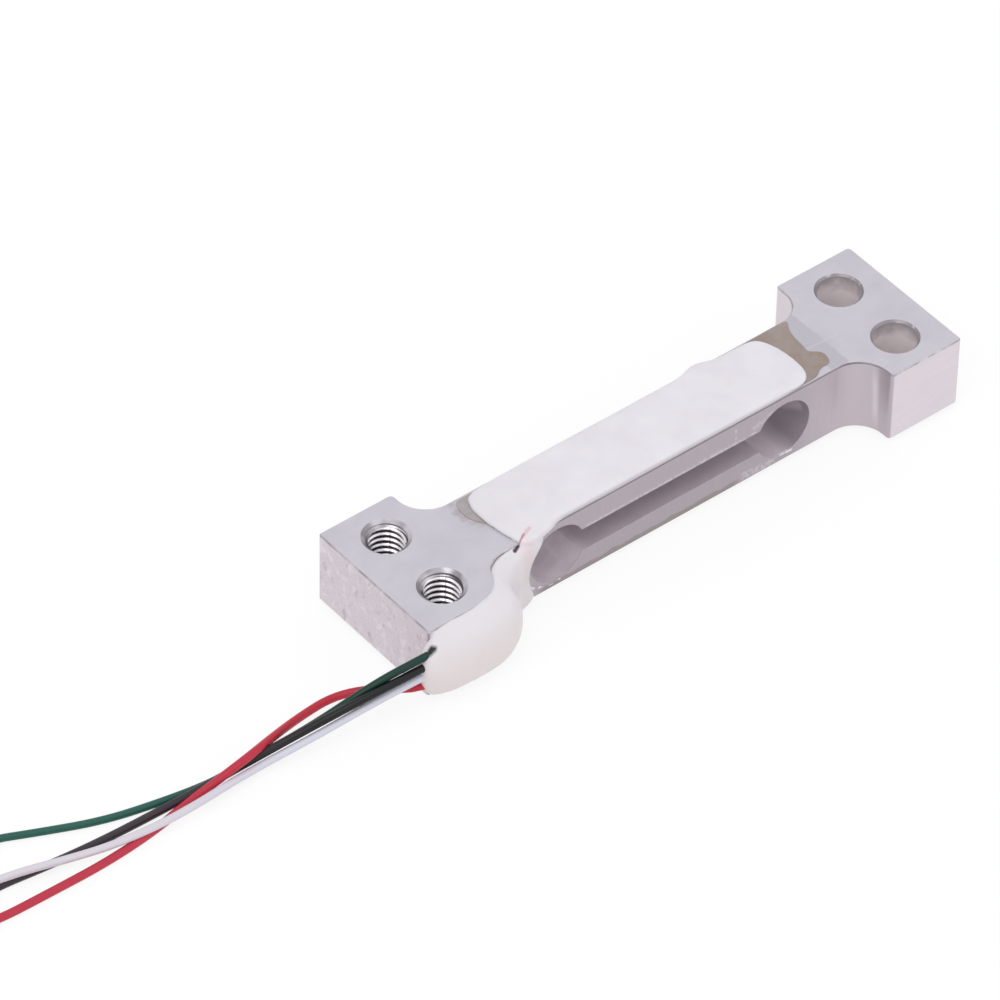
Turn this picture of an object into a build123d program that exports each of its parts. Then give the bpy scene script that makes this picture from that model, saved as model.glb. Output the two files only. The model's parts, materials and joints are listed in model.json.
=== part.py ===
"""Miniature bending-beam weighing cell, modelled in millimetres.

The origin is the middle of the two threaded fixing holes on the beam's underside. X runs along the
beam towards the load end, Y across it and Z up. The leads leave the fixing end towards -X.
"""

import os
from math import cos, floor, pi, radians, sin, tan

from build123d import *

os.makedirs("parts", exist_ok=True)

# Beam: a dog-bone bar with a wide block at each end and a slotted neck between them
hole_span = 40.0
hole_pitch = 6.0
end_margin = 3.5
beam_width = 12.0
beam_height = 6.0
block_length = 6.3
neck_width = 6.0
neck_fillet = 2.4
corner_radius = 0.3
edge_break = 0.1
# Each side of the neck was milled by itself, and the cut in front sits a little nearer the load end
front_shift = 0.4

beam_mid_x = hole_span / 2
beam_length = hole_span + 2 * end_margin
beam_start_x = -end_margin
beam_end_x = beam_start_x + beam_length
neck_start_x = beam_start_x + block_length
neck_end_x = beam_end_x - block_length
neck_side = neck_width / 2
block_side = beam_width / 2

# Window through the neck: two bores joined by a slot, which leaves a thin web over and under each bore
bore_dia = 4.7
bore_spacing = 20.0
slot_height = 2.0

mid_height = beam_height / 2
bore_xs = [beam_mid_x - bore_spacing / 2, beam_mid_x + bore_spacing / 2]

# Holes: a threaded pair with countersunk mouths at the fixing end, a plain pair at the load end
thread_major_dia = 3.0
thread_mouth_dia = 3.5
plain_hole_dia = 3.2
plain_hole_break = 0.15

hole_ys = [-hole_pitch / 2, hole_pitch / 2]

# Gauges: foil grids on backing film, bonded over and under each bore by a film of adhesive
adhesive_thickness = 0.04
adhesive_overlap = 1.4
adhesive_side_margin = 0.3
backing_length = 4.6
backing_width = 3.4
backing_thickness = 0.06
foil_thickness = 0.02
grid_lines = 8
grid_line_width = 0.12
grid_line_gap = 0.12
grid_length = 2.4
loop_width = 0.25
tab_length = 0.8
tab_width = 0.8
tab_offset = 0.75
tab_inset = 0.1

# Silicone over the gauges: a domed strip above, a thin pad below on which the cell lies
coating_near_gap = 3.3
coating_far_gap = 4.4
coating_start_x = neck_start_x + coating_near_gap
coating_end_x = neck_end_x - coating_far_gap
coating_top_height = 0.55
coating_top_side_margin = 0.1
coating_near_corner = 0.7
coating_far_corner = 1.6
coating_edge_radius = 0.45
coating_bottom_height = 0.35
coating_bottom_side_margin = 0.5
coating_bottom_corner = 0.8
resting_z = -coating_bottom_height

# Silicone lump on the front of the fixing block, over the joints of the leads, with a tongue along the
# neck to the near bore. Each outline point is the place on the beam's side that it swells from, the
# direction in which it swells in degrees, and its shares of the bulge at mid height and of the top lip.
potting_bulge = 2.0
potting_top_lip = 0.4
potting_skin = 0.1
mouth_radius = thread_mouth_dia / 2
potting_root_depth = 0.75 * min(block_side - hole_pitch / 2 - mouth_radius, neck_start_x - mouth_radius)
neck_run = bore_xs[0] - neck_start_x
side_step = block_side - neck_side
potting_outline = [
    (beam_start_x + 0.02 * block_length, -block_side + potting_skin, 188, 0.42, 0.25),
    (beam_start_x + 0.06 * block_length, -block_side, 228, 0.68, 0.25),
    (beam_start_x + 0.25 * block_length, -block_side, 262, 0.9, 0.25),
    (beam_start_x + 0.65 * block_length, -block_side, 272, 1.0, 0.25),
    (neck_start_x, -block_side, 300, 0.95, 0.38),
    (neck_start_x + 0.07 * neck_run, -block_side + 0.47 * side_step, 318, 1.18, 0.5),
    (neck_start_x + 0.22 * neck_run, -block_side + 0.83 * side_step, 315, 1.0, 0.88),
    (neck_start_x + 0.5 * neck_run, -neck_side, 288, 0.5, 1.12),
    (neck_start_x + 0.75 * neck_run, -neck_side, 285, 0.18, 0.88),
    (neck_start_x + 0.82 * neck_run, -neck_side + potting_skin, 0, 0.02, 0.75),
]
potting_levels = [(0.0, 0.3), (0.2, 0.72), (0.45, 1.0), (0.72, 0.86), (0.9, 0.5), (1.0, 0.0)]

# Terminal board bonded to the fixing block inside the lump, with a solder joint for each lead
board_start_x = -1.6
board_length = 3.6
board_thickness = 0.3
board_edge_margin = 0.6
joint_length = 1.0
joint_rounding = 0.12

joint_pitch = 1.0
joint_rise = 0.3

board_face_y = -block_side - board_thickness
joint_zs = [mid_height + joint_rise + (row - 1.5) * joint_pitch for row in range(4)]

# Leads: four insulated wires. Each has the height of its solder joint, its lane in the coil, the turns
# that it makes there, how far its end stands out of the coil, and the points of its route from where
# it leaves the lump to the coil.
lead_dia = 0.55
conductor_dia = 0.3
lead_joint_x = -0.5
lead_exit_x = beam_start_x - 0.6
lead_y = board_face_y - lead_dia / 2 - 0.025
leads = {
    "green": (joint_zs[3], 0, 4.34, 0.8, [
        (-7.6, -5.35, 3.45), (-11.6, -4.35, 1.35), (-15.4, -3.4, 0.1), (-19.4, -3.1, -0.075),
        (-23.4, -2.75, -0.075), (-27.4, -1.8, -0.075), (-31.2, 0.0, -0.075), (-35.0, 1.6, -0.075),
        (-38.4, 1.2, -0.075), (-41.0, -0.1, 0.0),
    ]),
    "white": (joint_zs[1], 1, 3.91, 0.8, [
        (-8.2, -6.1, 2.3), (-12.2, -5.2, 1.4), (-16.2, -4.4, 0.36), (-19.2, -4.62, 0.6),
        (-21.9, -4.7, 0.85), (-24.8, -4.75, 0.48), (-28.2, -3.9, 0.4), (-31.6, -3.6, 0.65),
        (-35.2, -2.5, 0.7), (-38.9, -1.7, 0.0), (-42.5, -1.8, 0.1),
    ]),
    "black": (joint_zs[2], 2, 3.68, 0.8, [
        (-8.2, -6.05, 3.2), (-12.2, -4.9, 2.0), (-16.0, -3.93, 0.8), (-20.2, -3.53, 0.2),
        (-24.4, -3.3, -0.075), (-28.6, -2.75, -0.075), (-32.8, -2.65, -0.075), (-37.0, -2.5, -0.075),
        (-40.8, -2.6, 0.05), (-44.1, -2.55, 0.1),
    ]),
    "red": (joint_zs[0], 3, 3.27, 2.9, [
        (-6.4, -4.3, 1.15), (-8.6, -2.3, 0.5), (-11.6, -2.2, 0.25), (-14.6, -3.0, 0.95),
        (-17.2, -3.8, 1.5), (-19.7, -4.08, 0.68), (-22.4, -4.1, -0.075), (-25.4, -4.98, -0.075),
        (-29.6, -5.0, -0.075), (-34.0, -4.85, -0.075), (-38.4, -4.6, -0.075), (-42.1, -3.85, 0.05),
        (-45.2, -3.25, 0.1),
    ]),
}

# Thin jumper wires from the solder joints round the neck's edges to the gauges at the near bore
jumper_dia = 0.16
jumper_gap = 0.14
jumper_tab_gap = 0.13
inner_x = neck_start_x + 0.6 * neck_run
outer_x = neck_start_x + 0.7 * neck_run
tab_x = bore_xs[0] - backing_length / 2 + tab_length
jumper_lift = adhesive_thickness + backing_thickness + jumper_tab_gap
high_z = beam_height + jumper_lift
low_z = -jumper_lift
jumpers = {
    "jumper_top_red": (joint_zs[3], [
        (neck_start_x + 0.1, -block_side - 0.75, joint_zs[3] + 0.2),
        (neck_start_x + 0.28 * neck_run, -neck_side - 0.65 * side_step, beam_height - 0.5),
        (neck_start_x + 0.45 * neck_run, -neck_side - 0.5, beam_height + jumper_gap),
        (inner_x, -neck_side + 0.8, high_z), (inner_x + 0.3, -tab_offset, high_z),
        (tab_x, tab_offset, high_z),
    ]),
    "jumper_top_black": (joint_zs[2], [
        (neck_start_x + 0.1, -block_side - 0.95, joint_zs[2] + 0.4),
        (neck_start_x + 0.35 * neck_run, -neck_side - 0.72 * side_step, beam_height - 1.0),
        (neck_start_x + 0.57 * neck_run, -neck_side - 0.65, beam_height),
        (outer_x, -neck_side + 0.5, high_z), (outer_x, -2 * tab_offset, high_z),
        (tab_x, -tab_offset, high_z),
    ]),
    "jumper_bottom_white": (joint_zs[1], [
        (neck_start_x + 0.1, -block_side - 0.75, joint_zs[1] - 0.4),
        (neck_start_x + 0.28 * neck_run, -neck_side - 0.67 * side_step, 1.2),
        (neck_start_x + 0.45 * neck_run, -neck_side - 0.6, 0.0),
        (inner_x, -neck_side + 0.8, low_z), (inner_x + 0.3, -tab_offset, low_z),
        (tab_x, tab_offset, low_z),
    ]),
    "jumper_bottom_green": (joint_zs[0], [
        (neck_start_x + 0.1, -block_side - 0.75, joint_zs[0] - 0.3),
        (neck_start_x + 0.35 * neck_run, -neck_side - 0.67 * side_step, 0.8),
        (neck_start_x + 0.57 * neck_run, -neck_side - 0.7, 0.0),
        (outer_x, -neck_side + 0.5, low_z), (outer_x, -2 * tab_offset, low_z),
        (tab_x, -tab_offset, low_z),
    ]),
}

# Coil of the leads' spare length: four lanes side by side, wound in stacked turns and held by a tie
coil_centre = (-47.5, 4.6)
coil_entry_angle = -100.0
coil_inner_lane_radius = 5.5
lane_pitch = lead_dia + 0.05
turn_pitch = lead_dia + 0.02
coil_layers = 4
rise_start = 190.0
rise_end = 240.0
tie_thickness = 0.15
tie_arc = 18.0
tie_turn = 174.0
bare_end_length = 3.0

coil_side_margin = 0.3
coil_inner_radius = coil_inner_lane_radius - coil_side_margin
coil_outer_radius = coil_inner_lane_radius + (len(leads) - 1) * lane_pitch + coil_side_margin
coil_bottom_z = resting_z + tie_thickness
coil_height = lead_dia + (coil_layers - 1) * turn_pitch


def rounded_path(points):
    """Straight runs joined by arcs that are as large as the runs beside each corner allow."""
    vectors = [Vector(*point) for point in points]
    arcs = []
    for before, corner, after in zip(vectors, vectors[1:], vectors[2:]):
        run_in, run_out = corner - before, after - corner
        half_turn = radians(run_in.get_angle(run_out)) / 2
        arcs.append(0.45 * min(run_in.length, run_out.length) / tan(half_turn))
    return FilletPolyline(*points, radius=arcs), arcs


def wire(name, diameter, points):
    """A round wire along a route, and its length."""
    with BuildPart() as tube:
        with BuildLine() as path:
            _, arcs = rounded_path(points)
        route = path.wires()[0]
        with BuildSketch(Plane(route @ 0, z_dir=route % 0)):
            Circle(diameter / 2)
        sweep(path=route)
    length = route.length
    section_volume = pi * diameter**2 / 4 * length
    print(f"{name}: {length:.1f} mm long, smallest arc {min(arcs):.1f} mm, "
          f"volume {tube.part.volume / section_volume:.3f} of section times length")
    return tube, length


def write(builder, name):
    """Label a finished piece and write its file."""
    builder.part.label = name
    export_step(builder.part, f"parts/{name}.step")


# Beam
with BuildPart() as beam:
    with BuildSketch():
        with Locations((beam_mid_x, 0)):
            Rectangle(beam_length, beam_width)
    extrude(amount=beam_height)
    with BuildSketch():
        for side, start_step, end_step in ((-1, front_shift, 0), (1, 0, front_shift)):
            cut_start_x = neck_start_x + start_step
            cut_end_x = neck_end_x - end_step
            with Locations(((cut_start_x + cut_end_x) / 2, side * beam_width / 2)):
                Rectangle(cut_end_x - cut_start_x, beam_width - neck_width)
            for corner_x, step in ((cut_start_x, start_step), (cut_end_x, end_step)):
                corner = vertices().sort_by_distance((corner_x, side * neck_side))[0]
                fillet(corner, radius=neck_fillet - step)
    extrude(amount=beam_height, mode=Mode.SUBTRACT)
    upright_edges = beam.edges().filter_by(Axis.Z).group_by(Axis.Y)
    fillet(upright_edges[0] + upright_edges[-1], radius=corner_radius)
    top_outline = beam.faces().sort_by(Axis.Z)[-1].outer_wire().edges()
    bottom_outline = beam.faces().sort_by(Axis.Z)[0].outer_wire().edges()
    chamfer(top_outline + bottom_outline, length=edge_break)
    with BuildSketch(Plane.XZ):
        with Locations(*[(x, mid_height) for x in bore_xs]):
            Circle(bore_dia / 2)
        with Locations((beam_mid_x, mid_height)):
            Rectangle(bore_spacing, slot_height)
    extrude(amount=beam_width, both=True, mode=Mode.SUBTRACT)
    with Locations(*[(0, y, beam_height) for y in hole_ys]):
        Hole(radius=thread_major_dia / 2)
    with Locations(*[(hole_span, y, beam_height) for y in hole_ys]):
        Hole(radius=plain_hole_dia / 2)
    hole_rims = beam.edges().filter_by(GeomType.CIRCLE).group_by(Axis.Z)
    flat_rims = hole_rims[0] + hole_rims[-1]
    threaded_rims = [rim for rim in flat_rims if abs(rim.arc_center.X) < end_margin]
    plain_rims = [rim for rim in flat_rims if abs(rim.arc_center.X - hole_span) < end_margin
                  and rim.radius < plain_hole_dia]
    chamfer([rim for rim in threaded_rims if abs(rim.radius - thread_major_dia / 2) < edge_break],
            length=(thread_mouth_dia - thread_major_dia) / 2)
    chamfer([rim for rim in plain_rims if abs(rim.radius - plain_hole_dia / 2) < edge_break],
            length=plain_hole_break)
write(beam, "beam")

# Adhesive films, on the neck's top and bottom faces
adhesive_length = coating_end_x - coating_start_x + 2 * adhesive_overlap
adhesive_mid_x = (coating_start_x + coating_end_x) / 2
adhesive_width = neck_width - 2 * (edge_break + adhesive_side_margin)
for name, face_z, direction in (("adhesive_top", beam_height, 1), ("adhesive_bottom", 0, -1)):
    with BuildPart() as adhesive:
        with BuildSketch(Plane.XY.offset(face_z)):
            with Locations((adhesive_mid_x, 0)):
                RectangleRounded(adhesive_length, adhesive_width, radius=neck_side / 4)
        extrude(amount=direction * adhesive_thickness)
    write(adhesive, name)

# Strain gauges: a backing film with a folded foil grid and two solder tabs, on the adhesive
gauge_places = {
    "gauge_top_near": (bore_xs[0], 1),
    "gauge_top_far": (bore_xs[1], 1),
    "gauge_bottom_near": (bore_xs[0], -1),
    "gauge_bottom_far": (bore_xs[1], -1),
}
grid_pitch = grid_line_width + grid_line_gap
grid_width = grid_lines * grid_pitch - grid_line_gap
gauges = {}
for name, (gauge_x, side) in gauge_places.items():
    bond_z = beam_height + adhesive_thickness if side > 0 else -adhesive_thickness
    backing_z = bond_z + side * backing_thickness
    gauge_tab_x = gauge_x - backing_length / 2 + tab_inset + tab_length / 2
    grid_x = gauge_x + backing_length / 2 - tab_inset - loop_width - grid_length / 2
    with BuildPart() as gauge:
        with BuildSketch(Plane.XY.offset(bond_z)):
            with Locations((gauge_x, 0)):
                Rectangle(backing_length, backing_width)
        extrude(amount=side * backing_thickness)
        with BuildSketch(Plane.XY.offset(backing_z)):
            with Locations((grid_x, 0)):
                with GridLocations(0, grid_pitch, 1, grid_lines):
                    Rectangle(grid_length, grid_line_width)
            with Locations((grid_x + (grid_length + loop_width) / 2, 0)):
                with GridLocations(0, 2 * grid_pitch, 1, grid_lines // 2):
                    Rectangle(loop_width, grid_pitch + grid_line_width)
            with Locations((grid_x - (grid_length + loop_width) / 2, 0)):
                with GridLocations(0, 2 * grid_pitch, 1, grid_lines // 2 - 1):
                    Rectangle(loop_width, grid_pitch + grid_line_width)
            for tab_side in (-1, 1):
                lead_in_y = tab_side * (grid_width - grid_line_width) / 2
                lead_in_start = gauge_tab_x + tab_length / 2
                lead_in_end = grid_x - grid_length / 2
                with Locations(((lead_in_start + lead_in_end) / 2, lead_in_y)):
                    Rectangle(lead_in_end - lead_in_start, grid_line_width)
                with Locations((gauge_tab_x, tab_side * tab_offset)):
                    Rectangle(tab_length, tab_width)
        extrude(amount=side * foil_thickness)
    write(gauge, name)
    gauges[name] = gauge

# Jumper wires, bent from the solder joints round the neck's edges to the gauges' tabs
jumper_start_x = lead_joint_x + joint_length
jumper_wires = {}
for name, (joint_z, route) in jumpers.items():
    jumper_wires[name], _ = wire(name, jumper_dia, [(jumper_start_x, lead_y, joint_z)] + route)
    write(jumper_wires[name], name)

# Silicone strip over the top gauges, domed, with a rounded far end
coating_length = coating_end_x - coating_start_x
with BuildPart() as coating_top:
    with BuildSketch(Plane.XY.offset(beam_height)):
        with Locations((adhesive_mid_x, 0)):
            Rectangle(coating_length, neck_width - 2 * (edge_break + coating_top_side_margin))
        outline_corners = vertices().group_by(Axis.X)
        fillet(outline_corners[0], radius=coating_near_corner)
        fillet(outline_corners[-1], radius=coating_far_corner)
    extrude(amount=coating_top_height)
    dome_edges = coating_top.faces().sort_by(Axis.Z)[-1].outer_wire().edges()
    fillet(dome_edges, radius=coating_edge_radius)
    with BuildSketch(Plane.XY.offset(beam_height)):
        with Locations((adhesive_mid_x, 0)):
            RectangleRounded(adhesive_length, adhesive_width, radius=neck_side / 4)
    extrude(amount=adhesive_thickness, mode=Mode.SUBTRACT)
    for name in ("gauge_top_near", "gauge_top_far"):
        add(gauges[name].part, mode=Mode.SUBTRACT)
    for name in ("jumper_top_red", "jumper_top_black"):
        add(jumper_wires[name].part, mode=Mode.SUBTRACT)
write(coating_top, "coating_top")

# Silicone pad under the bottom gauges, flat because the cell lies on it
with BuildPart() as coating_bottom:
    with BuildSketch(Plane.XY.offset(resting_z)):
        with Locations((adhesive_mid_x, 0)):
            RectangleRounded(coating_length, neck_width - 2 * coating_bottom_side_margin,
                             radius=coating_bottom_corner)
    extrude(amount=coating_bottom_height)
    with BuildSketch():
        with Locations((adhesive_mid_x, 0)):
            RectangleRounded(adhesive_length, adhesive_width, radius=neck_side / 4)
    extrude(amount=-adhesive_thickness, mode=Mode.SUBTRACT)
    for name in ("gauge_bottom_near", "gauge_bottom_far"):
        add(gauges[name].part, mode=Mode.SUBTRACT)
    for name in ("jumper_bottom_white", "jumper_bottom_green"):
        add(jumper_wires[name].part, mode=Mode.SUBTRACT)
write(coating_bottom, "coating_bottom")

# Terminal board on the fixing block's front face
board_low_z = joint_zs[0] - board_edge_margin
board_high_z = joint_zs[-1] + board_edge_margin
with BuildPart() as terminal_board:
    with BuildSketch(Plane.XZ.offset(block_side)):
        with Locations((board_start_x + board_length / 2, (board_low_z + board_high_z) / 2)):
            Rectangle(board_length, board_high_z - board_low_z)
    extrude(amount=board_thickness)
write(terminal_board, "terminal_board")

# Solder joints, one for each lead and jumper pair
with BuildPart() as solder_joints:
    with BuildSketch(Plane.XZ.offset(-board_face_y)):
        with Locations(*[(lead_joint_x + joint_length / 2, z) for z in joint_zs]):
            Rectangle(joint_length, lead_dia + 0.05)
    extrude(amount=lead_dia + 0.05)
    fillet(solder_joints.faces().sort_by(Axis.Y)[: len(leads)].edges().filter_by(Axis.X),
           radius=joint_rounding)
write(solder_joints, "solder_joints")

# Coil: one closed ring in the outer shape of the wound leads
coil_axis = Axis((*coil_centre, 0), (0, 0, 1))
with BuildPart() as lead_coil:
    with BuildSketch(Plane((*coil_centre, coil_bottom_z), x_dir=(1, 0, 0), z_dir=(0, -1, 0))):
        with Locations(((coil_inner_radius + coil_outer_radius) / 2, coil_height / 2)):
            Rectangle(coil_outer_radius - coil_inner_radius, coil_height)
    revolve(axis=coil_axis)
    rim_edges = lead_coil.faces().sort_by(Axis.Z)[-1].edges()
    fillet(rim_edges, radius=lead_dia / 2)
write(lead_coil, "lead_coil")

# Tie, a band round the coil's section
tie_angle = coil_entry_angle - tie_turn + tie_arc / 2
tie_plane = Plane(
    (*coil_centre, coil_bottom_z),
    x_dir=(cos(radians(tie_angle)), sin(radians(tie_angle)), 0),
    z_dir=(sin(radians(tie_angle)), -cos(radians(tie_angle)), 0),
)
with BuildPart() as coil_tie:
    with BuildSketch(tie_plane):
        with Locations(((coil_inner_radius + coil_outer_radius) / 2, coil_height / 2)):
            RectangleRounded(coil_outer_radius - coil_inner_radius + 2 * tie_thickness,
                             coil_height + 2 * tie_thickness, radius=2 * tie_thickness)
    revolve(axis=coil_axis, revolution_arc=-tie_arc)
    add(lead_coil.part, mode=Mode.SUBTRACT)
write(coil_tie, "coil_tie")

# Leads, from their joints to just outside the coil
lead_wires = {}
lead_lengths = {}
for colour, (joint_z, _, _, _, route) in leads.items():
    lead_route = [(lead_joint_x, lead_y, joint_z), (lead_exit_x, lead_y, joint_z)] + route
    lead_wires[colour], lead_lengths[colour] = wire(f"lead_{colour}", lead_dia, lead_route)
    write(lead_wires[colour], f"lead_{colour}")

# Bare ends of the leads, which leave the coil's last turn in a straight line
for colour, (_, lane, turns, stand_out, route) in leads.items():
    lane_radius = coil_inner_lane_radius + lane * lane_pitch
    part_turn = 360 * (turns - floor(turns))
    rise = min(max((part_turn - rise_start) / (rise_end - rise_start), 0), 1)
    end_z = coil_bottom_z + lead_dia / 2 + (floor(turns) + rise) * turn_pitch
    end_angle = radians(coil_entry_angle - 360 * turns)
    forward = Vector(sin(end_angle), -cos(end_angle), 0)
    leaves_at = Vector(coil_centre[0] + lane_radius * cos(end_angle),
                       coil_centre[1] + lane_radius * sin(end_angle), end_z)
    with BuildPart() as bare_end:
        with BuildSketch(Plane(leaves_at + forward * stand_out, z_dir=forward)):
            Circle(conductor_dia / 2)
        extrude(amount=bare_end_length)
    write(bare_end, f"bare_end_{colour}")
    entry_angle = radians(coil_entry_angle)
    enters_at = Vector(coil_centre[0] + lane_radius * cos(entry_angle),
                       coil_centre[1] + lane_radius * sin(entry_angle), 0)
    run_in = (enters_at - Vector(*route[-1])).length
    length = lead_lengths[colour] + run_in + 2 * pi * lane_radius * turns + stand_out + bare_end_length
    print(f"{colour} lead: {length:.0f} mm long in all, its end at height {end_z:.2f}")

# Silicone lump: sections that swell out from the block, less all that lies inside it
with BuildPart() as potting:
    for height_share, swell in potting_levels:
        with BuildSketch(Plane.XY.offset(height_share * beam_height)):
            with BuildLine():
                rim = []
                for x, y, angle, bulge_share, lip_share in potting_outline:
                    lip = lip_share * potting_top_lip
                    out = lip + swell * (bulge_share * potting_bulge - lip)
                    rim.append((x + out * cos(radians(angle)), y + out * sin(radians(angle))))
                outer = Spline(*rim)
                Polyline(outer @ 1, (rim[-1][0], -neck_side + potting_root_depth),
                         (neck_start_x - potting_root_depth, -neck_side + potting_root_depth),
                         (neck_start_x - potting_root_depth, -block_side + potting_root_depth),
                         (beam_start_x + potting_root_depth, -block_side + potting_root_depth), outer @ 0)
            make_face()
    loft()
    add(beam.part, mode=Mode.SUBTRACT)
    with BuildSketch():
        with Locations((beam_mid_x, 0)):
            Rectangle(neck_end_x - neck_start_x, neck_width)
    extrude(amount=beam_height, mode=Mode.SUBTRACT)
    add(terminal_board.part, mode=Mode.SUBTRACT)
    add(solder_joints.part, mode=Mode.SUBTRACT)
    for piece in (*lead_wires.values(), *jumper_wires.values()):
        add(piece.part, mode=Mode.SUBTRACT)
write(potting, "potting")
print(f"potting: {len(potting.part.solids())} solids, volume {potting.part.volume:.1f}")
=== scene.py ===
# %% [markdown]
# # A miniature weighing cell
# This bar of aluminium bends a little under a weight, and foil gauges glued over its thinnest places
# feel that bend. The real one is about as long as a matchstick. Its exact solids come from the CAD
# model, so the bar is only given a better finish here, and time goes into what hand work made: the
# silicone, the adhesive and the thin leads. Shapes are drawn in millimetres, because that is how such a
# part is thought of, and are brought to metres when they are made into pieces.

import json
import math

import bmesh
import bpy
from mathutils import Color, Matrix, Vector, noise
from mathutils.geometry import intersect_point_line


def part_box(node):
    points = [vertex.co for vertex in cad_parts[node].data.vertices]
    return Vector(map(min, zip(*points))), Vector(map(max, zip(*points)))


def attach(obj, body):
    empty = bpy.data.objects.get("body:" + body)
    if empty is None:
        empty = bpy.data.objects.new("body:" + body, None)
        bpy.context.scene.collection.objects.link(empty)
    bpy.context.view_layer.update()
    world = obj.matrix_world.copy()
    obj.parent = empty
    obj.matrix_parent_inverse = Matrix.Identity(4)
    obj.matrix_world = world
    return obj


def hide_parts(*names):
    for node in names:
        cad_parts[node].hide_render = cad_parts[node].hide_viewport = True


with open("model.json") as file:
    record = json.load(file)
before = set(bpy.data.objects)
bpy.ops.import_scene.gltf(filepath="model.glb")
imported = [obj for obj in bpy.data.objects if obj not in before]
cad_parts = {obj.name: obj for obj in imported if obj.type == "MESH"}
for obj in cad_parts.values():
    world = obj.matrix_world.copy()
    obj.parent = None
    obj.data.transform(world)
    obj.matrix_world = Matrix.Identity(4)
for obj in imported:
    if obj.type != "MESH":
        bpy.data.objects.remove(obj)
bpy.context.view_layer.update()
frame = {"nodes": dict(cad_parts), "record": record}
MM = 0.001
print("nodes:", len(frame["nodes"]))

# %% [markdown]
# The main sizes are read from the solids, so that everything made here follows them. The bar lies on
# the silicone under its neck, which lifts it a third of a millimetre off the table.

# %% Sizes taken from the solids
beam_low, beam_high = (Vector(corner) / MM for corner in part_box("beam"))
pad_low, _ = (Vector(corner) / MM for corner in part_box("coating_bottom"))
coil_low, _ = (Vector(corner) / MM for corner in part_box("lead_coil"))
hole_radius = frame["record"]["mounts"][0]["dims"]["hole_r_mm"]
hole_xs = (0.0, 40.0)
hole_ys = (-3.0, 3.0)
neck_side = 3.0
middle_x = 20.0
middle_z = 3.0
top_z = beam_high.z
table_z = pad_low.z
print("beam", tuple(round(v, 2) for v in beam_low), "to", tuple(round(v, 2) for v in beam_high))
print("table height", round(table_z, 3), "mm")

# %% [markdown]
# The camera comes first, because the leads are laid out by what it sees. It stands half a metre away
# and looks down at 44 degrees with a long lens, as product photographers do, which keeps the bar's
# edges nearly parallel.

# %% Camera
view_azimuth = math.radians(-39.705)
view_elevation = math.radians(43.854)
view_roll = math.radians(1.2957)
view_distance = 528.16 * MM
view_target = Vector((10.214, 3.453, 3.0)) * MM

backward = Vector((
    math.sin(view_azimuth) * math.cos(view_elevation),
    -math.cos(view_azimuth) * math.cos(view_elevation),
    math.sin(view_elevation),
))
level_right = Vector((math.cos(view_azimuth), math.sin(view_azimuth), 0))
level_up = backward.cross(level_right)
right = level_right * math.cos(view_roll) + level_up * math.sin(view_roll)
up = level_up * math.cos(view_roll) - level_right * math.sin(view_roll)

camera_data = bpy.data.cameras.new("camera")
camera_data.lens = 279.53
camera_data.sensor_width = 36
camera_data.clip_start = 0.01
camera = bpy.data.objects.new("camera", camera_data)
camera.matrix_world = Matrix.Translation(view_target + backward * view_distance) @ (
    Matrix((right, up, backward)).transposed().to_4x4()
)
bpy.context.collection.objects.link(camera)
bpy.context.scene.camera = camera
print("camera at", tuple(round(v, 4) for v in camera.location))

# %% [markdown]
# Materials are built from nodes. Small helpers keep them readable: one starts a material with its plain
# settings, one adds a node and sets its inputs, some make masks, numbers from 0 to 1 that say where a
# second look takes over from the first, and some lay tones over each other by such masks. They all work
# on one tree of nodes, that of the material started last. All patterns read Object coordinates, which are
# metres here, so a grain of a tenth of a millimetre needs a scale in the thousands.


# %% Helpers for materials
def tone(*levels):
    """A colour from its levels of 0 to 255, as a picture editor shows them."""
    return tuple(Color([level / 255 for level in levels]).from_srgb_to_scene_linear())


tree = None


def start_material(name, colour, roughness, metallic=0.0):
    """A new material with one shader, and that shader. The nodes that follow go into its tree."""
    global tree
    material = bpy.data.materials.new(name)
    material.use_nodes = True
    tree = material.node_tree
    shader = tree.nodes["Principled BSDF"]
    shader.inputs["Base Color"].default_value = (*colour, 1)
    shader.inputs["Roughness"].default_value = roughness
    shader.inputs["Metallic"].default_value = metallic
    return material, shader


def add_node(kind, settings=None, **inputs):
    """A node of that kind. A value given for an input is set on it, and a socket is linked to it."""
    node = tree.nodes.new("ShaderNode" + kind)
    for setting, value in (settings or {}).items():
        setattr(node, setting, value)
    for label, value in inputs.items():
        socket = node.inputs[int(label[1:])] if label[1:].isdigit() else node.inputs[label.replace("_", " ")]
        if isinstance(value, bpy.types.NodeSocket):
            tree.links.new(value, socket)
        else:
            socket.default_value = value
    return node


def place_of():
    """The place on the piece, in metres."""
    return add_node("TexCoord").outputs["Object"]


def axes_of():
    """The x, y and z of the place, each by itself."""
    return add_node("SeparateXYZ", Vector=place_of()).outputs


def grain(size, stretch=(1, 1, 1), detail=3.0):
    """Soft random blotches of about that size in millimetres, drawn out along an axis by stretch."""
    scale = tuple(1 / (size * MM * s) for s in stretch)
    mapping = add_node("Mapping", Vector=place_of(), Scale=scale)
    pattern = add_node("TexNoise", Vector=mapping.outputs[0], Scale=1.0, Detail=detail)
    return pattern.outputs["Fac"]


def reckon(operation, first, second=0.0):
    """Two numbers put together by a sum, product or comparison."""
    return add_node("Math", {"operation": operation}, _0=first, _1=second).outputs[0]


def vector(operation, first, second, output="Vector"):
    """Two places or directions put together."""
    return add_node("VectorMath", {"operation": operation}, _0=first, _1=second).outputs[output]


def times(first, *others):
    """The product of some masks or numbers."""
    for mask in others:
        first = reckon("MULTIPLY", first, mask)
    return first


def off(value, middle):
    """How far a length lies from one given in millimetres, on either side of it."""
    return reckon("ABSOLUTE", reckon("SUBTRACT", value, middle * MM))


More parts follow.
